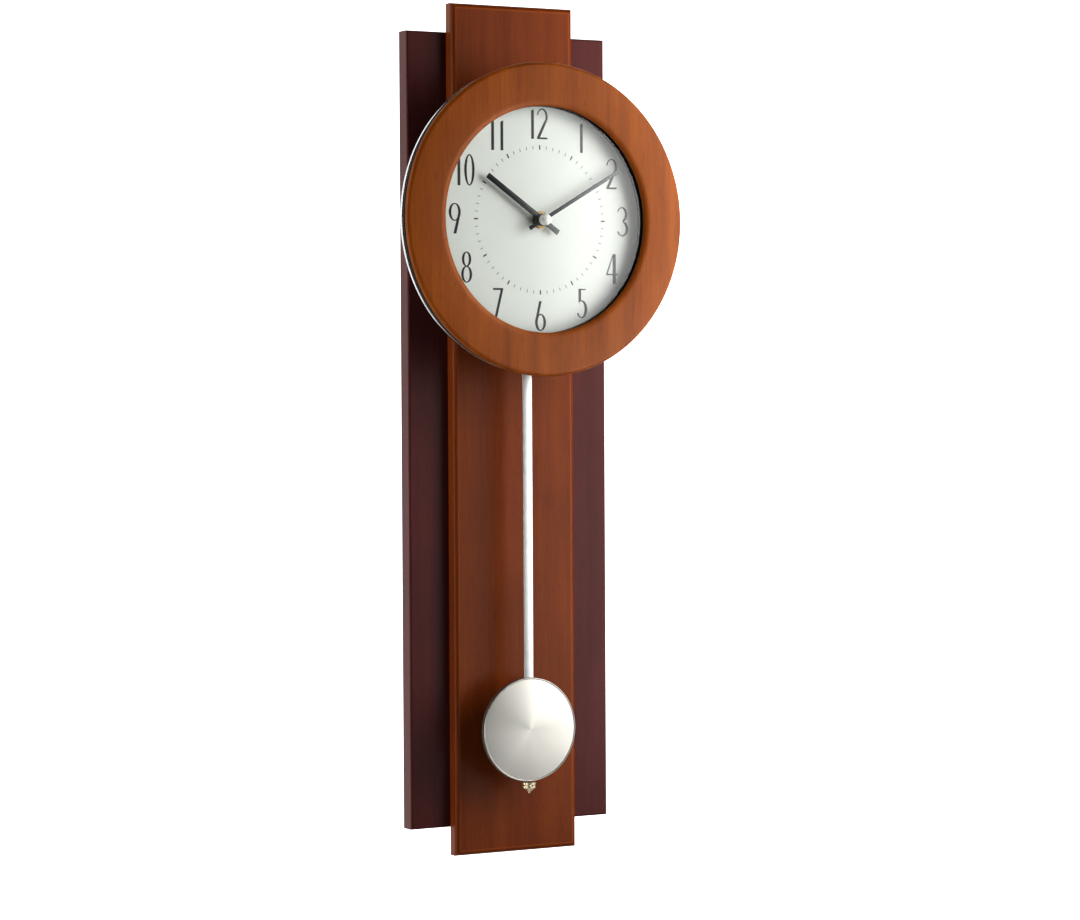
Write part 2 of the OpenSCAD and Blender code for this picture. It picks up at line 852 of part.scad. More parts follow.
module bob_back() {
    color("#b9bbbd") at_dial() translate([0, 0, bob_z]) {
        bar([0, 0], bob_rim_back - 0.4, 0.6, bob_r - bob_skin - 0.1);
        for (z = [-14, 14]) difference() {
            translate([-5, -rod_depth - guide_half, z - 3])
                cube([10, rod_depth + guide_half - bob_rim_back - 0.2, 6]);
            translate([-rod_w / 2, -rod_depth - rod_t / 2, z - 4]) cube([rod_w, rod_t, 8]);
        }
    }
}

module rating_screw() {
    color("#c9a455") at_dial() translate([0, -rod_depth, nut_top - 3])
        cylinder(h = rod_bottom - nut_top + 3, r = rating_screw_r);
}

module rating_nut() {
    color("#d6c9a8") at_dial() translate([0, -rod_depth, nut_top]) difference() {
        union() {
            translate([0, 0, -3.4]) cylinder(h = 3.4, r = 3.75, $fn = 6);
            translate([0, 0, -6.3]) cylinder(h = 2.9, r1 = 0.5, r2 = 3);
        }
        translate([0, 0, -3]) cylinder(h = 4, r = rating_screw_r);
        translate([0, 0, -1.8]) rotate([90, 0, 0]) cylinder(h = 5, r = 0.6);
    }
}

back_board();
front_board();
board_screws();
hanger_plate();
hanger_screws();
wall_pads();
standoff_posts();
post_rear_screws();
post_front_screws();
bezel_ring();
bezel_screws();
lens();
lens_gasket();
spacer_ring();
head_pan();
dial_plate();
hour_hand();
minute_hand();
cap_nut();
bushing_nut();
brass_washer();
rubber_washer();
front_case();
rear_case();
case_screws();
train_plate();
centre_arbor();
centre_wheel();
hour_wheel();
minute_wheel();
third_wheel();
seconds_wheel();
intermediate_wheel();
rotor_shaft();
rotor_magnet();
stator();
motor_coil();
setting_arbor();
setting_knob();
circuit_board();
quartz_crystal();
battery();
contact_positive();
contact_negative();
pivot_pin();
pendulum_hanger();
hanger_magnet();
drive_coil();
pendulum_rod();
bob_front();
bob_back();
rating_screw();
rating_nut();
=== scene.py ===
"""Pendulum wall clock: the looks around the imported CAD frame.

The file is laid out as an add-on and run as a script. Pieces are worked out in millimetres, and the
stage in metres.
"""

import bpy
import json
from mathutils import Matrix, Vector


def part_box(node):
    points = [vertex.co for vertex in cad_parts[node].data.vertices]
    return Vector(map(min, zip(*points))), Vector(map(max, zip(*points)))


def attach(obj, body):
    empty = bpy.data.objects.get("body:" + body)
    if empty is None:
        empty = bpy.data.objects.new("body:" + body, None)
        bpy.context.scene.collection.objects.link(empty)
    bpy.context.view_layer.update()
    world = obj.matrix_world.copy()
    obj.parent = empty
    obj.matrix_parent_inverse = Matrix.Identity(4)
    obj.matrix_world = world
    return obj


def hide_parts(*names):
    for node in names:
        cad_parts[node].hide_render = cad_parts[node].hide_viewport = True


bl_info = {
    "name": "Pendulum wall clock",
    "version": (1, 0, 0),
    "blender": (4, 5, 0),
    "location": "3D View > Sidebar > Clock",
    "description": "Builds a wooden pendulum wall clock with a domed glass, printed dial and spun bob",
    "category": "Add Mesh",
}

import json
from math import cos, pi, radians, sin

import bmesh
import bpy
from bpy.props import FloatProperty, FloatVectorProperty, IntProperty
from mathutils import Matrix, Vector

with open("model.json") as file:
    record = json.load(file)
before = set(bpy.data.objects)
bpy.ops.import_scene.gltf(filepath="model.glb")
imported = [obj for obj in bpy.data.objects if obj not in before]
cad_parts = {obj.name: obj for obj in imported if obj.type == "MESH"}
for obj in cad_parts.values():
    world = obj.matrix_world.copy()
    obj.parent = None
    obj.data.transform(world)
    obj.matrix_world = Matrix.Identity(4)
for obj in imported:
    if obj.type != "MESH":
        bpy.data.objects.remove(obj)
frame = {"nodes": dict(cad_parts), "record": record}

MM = 0.001
CLOCK = "clock"
SLOT_OF = {row["node"]: row["material_slot"] for row in frame["record"]["subparts"]}


def middle(node):
    """The middle of a CAD node's box."""
    low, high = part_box(node)
    return (low + high) / 2


def depths(node):
    """How far a CAD node's rear and front stand in front of the wall plane, in millimetres."""
    low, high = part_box(node)
    return -high.y / MM, -low.y / MM


def radius(node):
    """Half of a CAD node's width, in millimetres."""
    low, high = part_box(node)
    return (high.x - low.x) / 2 / MM


DIAL_Z = middle("dial_plate").z
DIAL_FACE = depths("dial_plate")[1]


def linear(code):
    """An sRGB hex colour as linear red, green, blue and alpha."""
    parts = [int(code[i:i + 2], 16) / 255 for i in (1, 3, 5)]
    return [c / 12.92 if c <= 0.04045 else ((c + 0.055) / 1.055) ** 2.4 for c in parts] + [1.0]


# Sizes and colours that a user would change

class ClockSizes(bpy.types.PropertyGroup):
    opening: FloatProperty(
        name="Opening", description="Radius of the opening in the wooden ring",
        default=60 * MM, unit="LENGTH")
    outer_edge: FloatProperty(
        name="Outer edge", description="Radius of the wooden ring's outer front edge",
        default=2.2 * MM, unit="LENGTH")
    inner_edge: FloatProperty(
        name="Inner edge", description="Width of the wooden ring's inner rounding",
        default=3.8 * MM, unit="LENGTH")
    dome: FloatProperty(
        name="Dome", description="Radius of the domed glass's outer surface",
        default=300 * MM, unit="LENGTH")
    numerals: FloatProperty(
        name="Numerals", description="Radius of the circle that the numerals' middles stand on",
        default=51.1 * MM, unit="LENGTH")
    track: FloatProperty(
        name="Minute track", description="Radius of the middle of the minute marks",
        default=38.5 * MM, unit="LENGTH")
    print_height: FloatProperty(
        name="Print height", description="How far the ink stands on the dial",
        default=0.03 * MM, unit="LENGTH")
    bob_bead: FloatProperty(
        name="Bob bead", description="Radius of the rolled bead round the bob",
        default=0.45 * MM, unit="LENGTH")
    spin_steps: IntProperty(
        name="Turning steps", description="Number of steps in a turned piece", default=192, min=24)


class ClockColours(bpy.types.PropertyGroup):
    back_board: FloatVectorProperty(
        name="Back board", description="Middle tone of the dark stained back board",
        default=linear("#5c2a27")[:3], subtype="COLOR")
    front_board: FloatVectorProperty(
        name="Front board", description="Middle tone of the brown front board",
        default=linear("#833d13")[:3], subtype="COLOR")
    ring: FloatVectorProperty(
        name="Ring", description="Middle tone of the wooden ring",
        default=linear("#9e520d")[:3], subtype="COLOR")
    dial: FloatVectorProperty(
        name="Dial", description="Paint of the dial", default=linear("#f0f1ed")[:3], subtype="COLOR")
    ink: FloatVectorProperty(
        name="Ink", description="Ink of the numerals", default=linear("#17181a")[:3], subtype="COLOR")


def sizes():
    return bpy.context.scene.clock_sizes


def colours():
    return bpy.context.scene.clock_colours


# Materials

def add(owner, kind, inputs=None, stops=None, **settings):
    """Adds one shader node.

    An input is a number, a colour, a socket or a node, whose first output is used.
    """
    tree = owner.node_tree
    node = tree.nodes.new("ShaderNode" + kind)
    for name, value in settings.items():
        setattr(node, name, value)
    for name, value in (inputs or {}).items():
        if isinstance(value, bpy.types.Node):
            value = value.outputs[0]
        if isinstance(value, bpy.types.NodeSocket):
            tree.links.new(value, node.inputs[name])
        else:
            node.inputs[name].default_value = value
    if stops:
        elements = node.color_ramp.elements
        while len(elements) < len(stops):
            elements.new(0.5)
        for element, (place, colour) in zip(elements, stops):
            element.position = place
            element.color = colour if hasattr(colour, "__len__") else (colour, colour, colour, 1)
    return node


def start(name):
    """An empty node material."""
    material = bpy.data.materials.new(name)
    material.use_nodes = True
    material.node_tree.nodes.clear()
    return material


def close(material, **sockets):
    """Ends a material in one Principled shader, with underscores for the spaces in its sockets' names."""
    named = {name.replace("_", " "): value for name, value in sockets.items()}
    named["Specular IOR Level"] = named.pop("Specular", 0.5)
    shader = add(material, "BsdfPrincipled", named)
    add(material, "OutputMaterial", {"Surface": shader})
    return material


def speckle(material, grain, detail=3.0, rough=0.55):
    """An uneven pattern whose grain is so many millimetres along X, Y and Z."""
    place = add(material, "TexCoord").outputs["Object"]
    scaled = add(material, "Mapping", {"Vector": place, "Scale": [1 / (g * MM) for g in grain]})
    return add(material, "TexNoise",
               {"Vector": scaled, "Scale": 1.0, "Detail": detail, "Roughness": rough})


def shade(colour, factor):
    """A colour made lighter or darker by one factor."""
    return [min(1.0, c * factor) for c in colour[:3]] + [1.0]


def tinted(colour, red, green, blue):
    """A colour with a factor of its own on each channel."""
    return [colour[0] * red, colour[1] * green, colour[2] * blue, 1.0]


def rubbed_arris(material, node, inset):
    """How much painted highlight lies along the line where a board's flat face meets its rounded edges.

    The line runs so many millimetres inside the board's outline. It fades out on both sides.
    """
    reach = 0.6 * MM
    most = 0.6
    low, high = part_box(node)
    place = add(material, "TexCoord").outputs["Object"]
    apart = add(material, "SeparateXYZ", {"Vector": place})
    gaps = []
    for axis, first, last in (("X", low.x, high.x), ("Z", low.z, high.z)):
        off = add(material, "Math", {0: apart.outputs[axis], 1: (first + last) / 2}, operation="SUBTRACT")
        size = add(material, "Math", {0: off}, operation="ABSOLUTE")
        gaps.append(add(material, "Math", {0: (last - first) / 2, 1: size}, operation="SUBTRACT"))
    edge = add(material, "Math", {0: gaps[0], 1: gaps[1]}, operation="MINIMUM")
    away = add(material, "Math", {0: edge, 1: inset * MM}, operation="SUBTRACT")
    gap = add(material, "Math", {0: away}, operation="ABSOLUTE")
    return add(material, "MapRange", {"Value": gap, "From Max": reach, "To Min": most, "To Max": 0.0})


def lacquered_wood(name, tone, fibre, band, contrast, pores, shine, gloss, bump, edge_highlight=None):
    """Wood with its grain up the piece: growth bands, fine fibres and short pores under a clear lacquer.

    Fibres and bands are so many millimetres wide, and much longer than they are wide.
    """
    fibre_length = fibre * 45
    band_length = band * 16
    m = start(name)
    fibres = speckle(m, (fibre, fibre, fibre_length), 4.0, 0.65)
    bands = speckle(m, (band, band, band_length), 3.0, 0.5)
    clouds = speckle(m, (38, 38, 60), 2.0, 0.5)
    specks = speckle(m, (0.55, 0.55, 7), 2.0, 0.6)
    slow = add(m, "Math", {0: bands, 1: 0.6}, operation="MULTIPLY")
    figure = add(m, "Math", {0: fibres, 1: 0.4, 2: slow}, operation="MULTIPLY_ADD")
    toned = add(m, "ValToRGB", {"Fac": figure}, stops=[
        (0.34, tinted(tone, 1 - contrast, 1 - 1.25 * contrast, 1 - 1.3 * contrast)),
        (0.5, tinted(tone, 1, 1, 1)),
        (0.68, tinted(tone, 1 + contrast, 1 + 1.3 * contrast, 1 + 1.4 * contrast))])
    cloudy = add(m, "ValToRGB", {"Fac": clouds}, stops=[(0.3, 0.8), (0.7, 1.0)])
    shaded = add(m, "Mix", {0: 1.0, 6: toned, 7: cloudy}, data_type="RGBA", blend_type="MULTIPLY")
    open_pores = add(m, "ValToRGB", {"Fac": specks}, stops=[(0.3, 1 - pores), (0.4, 1.0)])
    coloured = add(m, "Mix", {0: 1.0, 6: shaded.outputs[2], 7: open_pores},
                   data_type="RGBA", blend_type="MULTIPLY")
    # A paler line along the board's rounded edges: a painted highlight.
    if edge_highlight:
        highlight_tone = tinted(tone, 1.7, 2.0, 1.6)
        coloured = add(m, "Mix", {0: rubbed_arris(m, *edge_highlight), 6: coloured.outputs[2], 7: highlight_tone},
                       data_type="RGBA")
    raised_grain = add(m, "Bump", {"Height": fibres, "Strength": bump, "Distance": 0.08 * MM})
    rough = add(m, "MapRange", {"Value": fibres, "To Min": gloss, "To Max": gloss + 0.14})
    return close(m, Base_Color=coloured.outputs[2], Roughness=rough, Normal=raised_grain, Specular=shine)


def stained_mahogany():
    """Stained mahogany board under satin lacquer: dark wine red, long straight grain, soft sheen."""
    return lacquered_wood("stained_mahogany", colours().back_board, fibre=0.9, band=9, contrast=0.16,
                          pores=0.2, shine=0.13, gloss=0.3, bump=0.25)


def stained_walnut():
    """Stained veneer under satin lacquer: red brown, slow bands, with a painted highlight along its
    edges.
    """
    return lacquered_wood("stained_walnut", colours().front_board, fibre=0.8, band=11, contrast=0.2,
                          pores=0.28, shine=0.12, gloss=0.3, bump=0.25, edge_highlight=("front_board", 2.4))


def turned_cherry():
    """Cherry ring turned on a lathe and lacquered: warm orange brown with upright fibres."""
    return lacquered_wood("turned_cherry", colours().ring, fibre=0.7, band=7, contrast=0.24,
                          pores=0.3, shine=0.2, gloss=0.3, bump=0.3)


def worn_metal(name, colour, grain, rough, spread, scratch):
    """Bare or plated metal whose fine marks are so many millimetres long along each axis."""
    m = start(name)
    marks = speckle(m, grain, 3.0, 0.6)
    dull = speckle(m, (6, 6, 6), 2.0, 0.5)
    tint = add(m, "ValToRGB", {"Fac": dull},
               stops=[(0.3, shade(colour, 0.88)), (0.7, shade(colour, 1.0))])
    roughness = add(m, "MapRange",
                    {"Value": marks, "To Min": rough - spread, "To Max": rough + spread})
    bump = add(m, "Bump", {"Height": marks, "Strength": scratch, "Distance": 0.02 * MM})
    return close(m, Base_Color=tint, Metallic=1.0, Roughness=roughness, Normal=bump)


def yellow_zinc():
    """Yellow passivated zinc on screws: pale gold with a faint cloudy tint."""
    return worn_metal("yellow_zinc", linear("#c9b06c"), (1.2, 1.2, 1.2),
                      rough=0.32, spread=0.08, scratch=0.1)


def zinc_plate():
    """Bright zinc on pressed steel: cool grey with soft rolling marks."""
    return worn_metal("zinc_plate", linear("#b9bcc0"), (0.4, 8, 8),
                      rough=0.3, spread=0.08, scratch=0.15)


def bright_aluminium():
    """Spun aluminium pan, bright anodised: pale silver with a fine even grain."""
    return worn_metal("bright_aluminium", linear("#bfc1c2"), (0.6, 0.6, 0.6),
                      rough=0.22, spread=0.06, scratch=0.08)


def turned_brass():
    """Turned brass under old lacquer: dull yellow brown with fine tool marks."""
    return worn_metal("turned_brass", linear("#a98c62"), (0.3, 0.3, 3),
                      rough=0.3, spread=0.06, scratch=0.15)


def ground_steel():
    """Ground steel arbors and pins: clean grey with marks round the shaft."""
    return worn_metal("ground_steel", linear("#b4b8bd"), (4, 0.25, 4),
                      rough=0.22, spread=0.06, scratch=0.15)


def rolled_steel():
    """Oiled electrical sheet steel: darker grey, dull, rolled in one direction."""
    return worn_metal("rolled_steel", linear("#85888c"), (9, 0.5, 0.5),
                      rough=0.4, spread=0.1, scratch=0.2)


def bob_backing():
    """Rolled steel disc behind the bob: plain grey with upright rolling marks."""
    return worn_metal("bob_backing", linear("#a6a8aa"), (0.5, 9, 12),
                      rough=0.35, spread=0.1, scratch=0.2)


def nickel_spring():
    """Nickel plated spring steel: bright with very slight haze."""
    return worn_metal("nickel_spring", linear("#d2cfc6"), (2, 2, 2),
                      rough=0.18, spread=0.05, scratch=0.05)


def satin_rod():
    """Drawn aluminium strip, satin finished: near-white with fine lines along its length."""
    return worn_metal("satin_rod", linear("#cfcfcd"), (0.35, 0.35, 30),
                      rough=0.42, spread=0.06, scratch=0.12)


def pale_gold():
    """Thin pale gold plating on a knurled nut: light, warm and satin, with small bright edges."""
    return worn_metal("pale_gold", linear("#f3e6c8"), (0.5, 0.5, 0.5),
                      rough=0.36, spread=0.06, scratch=0.1)


def spun_bob():
    """Spun aluminium: fine circles from the lathe in its roughness, and soft fans of reflection painted
    into its colour.
    """
    ring_width = 0.35 * MM
    m = start("spun_bob")
    centre = middle("bob_front")
    place = add(m, "TexCoord").outputs["Object"]
    local = add(m, "Mapping", {"Vector": place, "Location": [-c for c in centre]})
    apart = add(m, "SeparateXYZ", {"Vector": local})
    angle = add(m, "Math", {0: apart.outputs["X"], 1: apart.outputs["Z"]}, operation="ARCTAN2")
    across = add(m, "VectorMath", {0: local}, operation="LENGTH").outputs["Value"]
    counted = add(m, "Math", {0: across, 1: 1 / ring_width}, operation="MULTIPLY")
    rings = add(m, "TexNoise", {"W": counted, "Scale": 1.0, "Detail": 2.0}, noise_dimensions="1D")
    # Soft bright and dark fans round the middle: painted reflection in the base colour.
    painted_fans = []
    for times, turn in ((2, 0.6), (3, 1.1), (7, 0.2)):
        phase = add(m, "Math", {0: angle, 1: times, 2: turn}, operation="MULTIPLY_ADD")
        painted_fans.append(add(m, "Math", {0: phase}, operation="SINE"))
    both = add(m, "Math", {0: painted_fans[1], 1: 0.45, 2: painted_fans[0]}, operation="MULTIPLY_ADD")
    glow = add(m, "Math", {0: painted_fans[2], 1: 0.15, 2: both}, operation="MULTIPLY_ADD")
    tint = add(m, "MapRange", {"Value": glow, "From Min": -1.6, "From Max": 1.6})
    # The colour runs from darker to paler silver across the painted reflection fans.
    colour = add(m, "ValToRGB", {"Fac": tint}, stops=[(0.0, linear("#aaa8a2")), (1.0, linear("#c8c6c0"))])
    rough = add(m, "MapRange", {"Value": rings, "To Min": 0.34, "To Max": 0.48})
    bump = add(m, "Bump", {"Height": rings, "Strength": 0.12, "Distance": 0.02 * MM})
    return close(m, Base_Color=colour, Metallic=1.0, Roughness=rough, Normal=bump)


def moulded(name, colour, rough, texture, grain=0.5, mottle=0.12):
    """A moulded or coated surface: fine pits so many millimetres wide, and a faintly cloudy colour."""
    m = start(name)
    pits = speckle(m, (grain, grain, grain), 2.0, 0.5)
    flow = speckle(m, (14, 14, 14), 2.0, 0.5)
    tint = add(m, "ValToRGB", {"Fac": flow},
               stops=[(0.3, shade(colour, 1 - mottle)), (0.7, shade(colour, 1 + mottle))])
    roughness = add(m, "MapRange", {"Value": pits, "To Min": rough - 0.06, "To Max": rough + 0.06})
    bump = add(m, "Bump", {"Height": pits, "Strength": texture, "Distance": 0.05 * MM})
    return close(m, Base_Color=tint, Roughness=roughness, Normal=bump, IOR=1.5)


def black_abs():
    """Moulded black ABS: dull charcoal with a fine spark texture."""
    return moulded("black_abs", linear("#1d1d20"), rough=0.5, texture=0.35)


def pad_rubber():
    """Moulded rubber: matt black with a slightly dusty surface."""
    return moulded("pad_rubber", linear("#171717"), rough=0.78, texture=0.4, grain=0.8)


def acetal():
    """Moulded natural acetal wheels: milky white, slightly waxy."""
    return moulded("acetal", linear("#e8e4d6"), rough=0.36, texture=0.1)


def ferrite():
    """Sintered ferrite magnet: dark grey, dense and slightly grainy."""
    return moulded("ferrite", linear("#2f3033"), rough=0.6, texture=0.5, grain=0.3)


def charcoal_paint():
    """Satin charcoal paint on stamped hands: nearly black with a soft edge light."""
    return moulded("charcoal_paint", linear("#26272b"), rough=0.32, texture=0.08, grain=0.4)


def ivory_nut():
    """Ivory lacquer on the dome nut: warm white, satin, with a soft highlight."""
    return moulded("ivory_nut", linear("#fdfcf6"), rough=0.45, texture=0.05, grain=0.5, mottle=0.01)


def screen_ink():
    """Screen printed ink: dense black with a slight orange-peel gloss."""
    return moulded("screen_ink", list(colours().ink), rough=0.4, texture=0.1, grain=0.3)


def grey_ink():
    """Thin screen printed lines, which read as grey because the white shows through their edges."""
    return moulded("grey_ink", linear("#74767a"), rough=0.45, texture=0.1, grain=0.3)


def dial_paint():
    """Sprayed satin lacquer on the dial plate: cool white with a faint even grain."""
    return moulded("dial_paint", list(colours().dial), rough=0.5, texture=0.06, grain=0.35, mottle=0.012)


def solder_resist():
    """Green solder resist over copper tracks: glossy green with paler upright lines, 0.4 mm apart."""
    unit = 1.3 * MM  # a wave texture repeats every 0.314 units
    m = start("solder_resist")
    place = add(m, "TexCoord").outputs["Object"]
    scaled = add(m, "Mapping", {"Vector": place, "Scale": [1 / unit] * 3})
    lines = add(m, "TexWave", {"Vector": scaled, "Scale": 1.0, "Distortion": 2.0, "Detail": 0.0})
    tint = add(m, "ValToRGB", {"Fac": lines.outputs["Fac"]},
               stops=[(0.55, linear("#1d5a34")), (0.62, linear("#3b8a50"))])
    bump = add(m, "Bump", {"Height": lines.outputs["Fac"], "Strength": 0.2, "Distance": 0.05 * MM})
    return close(m, Base_Color=tint, Roughness=0.25, Normal=bump, IOR=1.5)


def copper_winding():
    """Enamelled copper wire wound along the motor's core: copper brown, ridged every 0.25 mm."""
    unit = 0.4 * MM  # a wave texture at half scale repeats every 0.628 units
    m = start("copper_winding")
    place = add(m, "TexCoord").outputs["Object"]
    scaled = add(m, "Mapping", {"Vector": place, "Scale": [1 / unit] * 3})
    ridges = add(m, "TexWave", {"Vector": scaled, "Scale": 0.5, "Distortion": 0.2}, bands_direction="X")
    tint = add(m, "ValToRGB", {"Fac": ridges.outputs["Fac"]},
               stops=[(0.0, linear("#5d2a12")), (1.0, linear("#c26a33"))])
    bump = add(m, "Bump", {"Height": ridges.outputs["Fac"], "Strength": 0.6, "Distance": 0.1 * MM})
    return close(m, Base_Color=tint, Metallic=0.7, Roughness=0.3, Normal=bump)


def printed_sleeve():
    """Printed shrink sleeve on the cell: deep blue with a thin copper band nearer the positive end."""
    m = start("printed_sleeve")
    low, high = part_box("battery")
    place = add(m, "TexCoord").outputs["Object"]
    along = add(m, "SeparateXYZ", {"Vector": place}).outputs["X"]
    share = add(m, "MapRange", {"Value": along, "From Min": low.x, "From Max": high.x})
    bands = add(m, "ValToRGB", {"Fac": share}, stops=[
        (0.0, linear("#1b2c46")), (0.7, linear("#c58b45")), (0.72, linear("#1b2c46"))])
    bands.color_ramp.interpolation = "CONSTANT"
    wrinkle = speckle(m, (5, 1.2, 1.2), 2.0, 0.5)
    bump = add(m, "Bump", {"Height": wrinkle, "Strength": 0.12, "Distance": 0.1 * MM})
    return close(m, Base_Color=bands, Roughness=0.3, Normal=bump, Coat_Weight=0.3)


def polished_glass():
    """Thin polished glass: light goes straight through it, and only its front faces' gloss shows."""
    sheen = 0.55  # below a bare pane's, so that the numerals stay clear behind it
    m = start("polished_glass")
    smears = speckle(m, (25, 25, 25), 2.0, 0.5)
    rough = add(m, "MapRange", {"Value": smears, "To Min": 0.015, "To Max": 0.05})
    through = add(m, "BsdfTransparent", {"Color": linear("#fdfefd")})
    gloss = add(m, "BsdfGlossy", {"Color": (1, 1, 1, 1), "Roughness": rough})
    mirrored = add(m, "Math", {0: add(m, "Fresnel", {"IOR": 1.5}), 1: sheen}, operation="MULTIPLY")
    inside = add(m, "NewGeometry").outputs["Backfacing"]
    outside = add(m, "Math", {0: 1.0, 1: inside}, operation="SUBTRACT")
    share = add(m, "Math", {0: mirrored, 1: outside}, operation="MULTIPLY")
    mixed = add(m, "MixShader", {0: share, 1: through, 2: gloss})
    add(m, "OutputMaterial", {"Surface": mixed})
    return m


def studio_paper():
    """Seamless paper for the floor: pale and matt with a faint tooth."""
    return moulded("studio_paper", linear("#f2f2f0"), rough=0.85, texture=0.2, grain=2.0)


def lit_paper():
    """Backdrop paper lit from behind the object: pale, evenly bright, with a faint tooth."""
    m = start("lit_paper")
    tooth = speckle(m, (300, 300, 300), 2.0, 0.5)
    glow = add(m, "MapRange", {"Value": tooth, "To Min": 1.0, "To Max": 1.04})
    return close(m, Base_Color=linear("#f4f4f4"), Roughness=0.9,
                 Emission_Color=(1.0, 1.0, 1.0, 1.0), Emission_Strength=glow)


FINISHES = {
    "mahogany_board": stained_mahogany, "walnut_board": stained_walnut, "bezel_wood": turned_cherry,
    "zinc_steel": yellow_zinc, "plate_steel": zinc_plate, "black_rubber": pad_rubber,
    "black_plastic": black_abs, "clear_glass": polished_glass, "silver_metal": bright_aluminium,
    "dial_print": dial_paint, "hand_paint": charcoal_paint, "nut_ivory": ivory_nut,
    "brass": turned_brass, "arbor_steel": ground_steel, "wheel_plastic": acetal,
    "magnet_ferrite": ferrite, "core_steel": rolled_steel, "copper_wire": copper_winding,
    "green_laminate": solder_resist, "battery_sleeve": printed_sleeve, "spring_steel": nickel_spring,
    "rod_metal": satin_rod, "bob_metal": spun_bob, "bob_steel": bob_backing,
    "ornament_metal": pale_gold,
}


def finish(maker):
    """A material by the function that makes it, made once."""
    return bpy.data.materials.get(maker.__name__) or maker()


# Shapes

def arc(centre, across, up, first, last, steps=8):
    """Points on an ellipse, from one angle to another in degrees."""
    angles = [radians(first + (last - first) * i / steps) for i in range(steps + 1)]
    return [(centre[0] + across * cos(a), centre[1] + up * sin(a)) for a in angles]


def turned(profile, steps=None):
    """Turns a closed profile of (radius, depth) points, in millimetres, about the Y axis."""
    bm = bmesh.new()
    verts = [bm.verts.new((r * MM, -d * MM, 0)) for r, d in profile]
    edges = [bm.edges.new(pair) for pair in zip(verts, verts[1:] + verts[:1])]
    bmesh.ops.spin(bm, geom=verts + edges, cent=(0, 0, 0), axis=(0, 1, 0), angle=2 * pi,
                   steps=steps or sizes().spin_steps, use_merge=True)
    return bm


def raised(bm, faces, height):
    """Gives flat faces a height of so many metres towards the front."""
    made = bmesh.ops.extrude_face_region(bm, geom=faces)
    verts = [v for v in made["geom"] if isinstance(v, bmesh.types.BMVert)]
    bmesh.ops.translate(bm, vec=(0, -height, 0), verts=verts)


def rounded_edges(bm, edges, size, segments=3):
    """Rounds edges by so many metres."""
    bmesh.ops.bevel(bm, geom=edges, offset=size, segments=segments, profile=0.5,
                    affect="EDGES", material=-1)


def block(bm, low, high, edge):
    """A block between two corners in millimetres, with all its edges rounded, in an empty bmesh."""
    made = bmesh.ops.create_cube(bm, size=1.0)["verts"]
    span = [(b - a) * MM for a, b in zip(low, high)]
    bmesh.ops.scale(bm, vec=span, verts=made)
    bmesh.ops.translate(bm, vec=[(a + b) / 2 * MM for a, b in zip(low, high)], verts=made)
    rounded_edges(bm, bm.edges[:], edge * MM)


def piece(name, bm, body, slot, maker=None, replaces=(), shift=(0, 0, 0), crease=32):
    """Closes and places a mesh, gives it its finish, and makes it ride on its body."""
    bmesh.ops.remove_doubles(bm, verts=bm.verts, dist=0.001 * MM)
    loose = [e for e in bm.edges if not e.link_faces]
    bmesh.ops.delete(bm, geom=loose, context="EDGES")
    bmesh.ops.recalc_face_normals(bm, faces=bm.faces)
    bmesh.ops.translate(bm, vec=shift, verts=bm.verts)
    if not bm.faces:
        raise RuntimeError(f"{name} came out with no faces")
    mesh = bpy.data.meshes.new(name)
    bm.to_mesh(mesh)
    bm.free()
    mesh.materials.append(finish(maker or FINISHES[slot]))
    mesh.shade_smooth()
    mesh.set_sharp_from_angle(angle=radians(crease))
    obj = bpy.data.objects.new(name, mesh)
    bpy.context.scene.collection.objects.link(obj)
    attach(obj, body)
    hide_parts(*replaces)
    return obj


# Operators, one for each piece or group of like pieces

class CLOCK_OT_ring(bpy.types.Operator):
    """Turns the wooden ring round the dial, with a rounded outer edge and a soft inner one"""
    bl_idname = "clock.ring"
    bl_label = "Wooden ring"

    def execute(self, context):
        back, face = depths("bezel_ring")
        outer = radius("bezel_ring")
        edge = sizes().outer_edge / MM
        opening = sizes().opening / MM
        inner = sizes().inner_edge / MM
        slant = 2.3
        play = 0.3
        lip = depths("lens_gasket")[1]
        lip_edge = lip + 0.3
        rabbet = radius("lens_gasket") + play
        profile = [(outer - slant, back)]
        profile += arc((outer - edge, face - edge), edge, edge, 0, 90)
        profile += arc((opening + inner, lip_edge), inner, face - lip_edge, 90, 180, 12)
        profile += [(opening, lip), (rabbet, lip), (rabbet, back)]
        piece("wooden_ring", turned(profile), CLOCK, "bezel_wood", replaces=["bezel_ring"],
              shift=(0, 0, DIAL_Z))
        return {"FINISHED"}


class CLOCK_OT_glass(bpy.types.Operator):
    """Sags the domed glass, with the flat flange that its gasket holds"""
    bl_idname = "clock.glass"
    bl_label = "Domed glass"

    def execute(self, context):
        back = depths("lens")[0]
        thick = 1.8
        steps = 40
        flange = radius("lens")
        crown = sizes().opening / MM + 0.2
        ball = sizes().dome / MM
        drop = ball - (ball ** 2 - crown ** 2) ** 0.5
        reaches = [crown * i / steps for i in range(steps + 1)]
        rise = [(r, drop - ball + (ball ** 2 - r ** 2) ** 0.5) for r in reaches]
        profile = [(r, back + thick + up) for r, up in rise] + [(flange, back + thick), (flange, back)]
        profile += [(r, back + up) for r, up in reversed(rise)]
        piece("domed_glass", turned(profile), CLOCK, "clear_glass", replaces=["lens"],
              shift=(0, 0, DIAL_Z), crease=20)
        return {"FINISHED"}


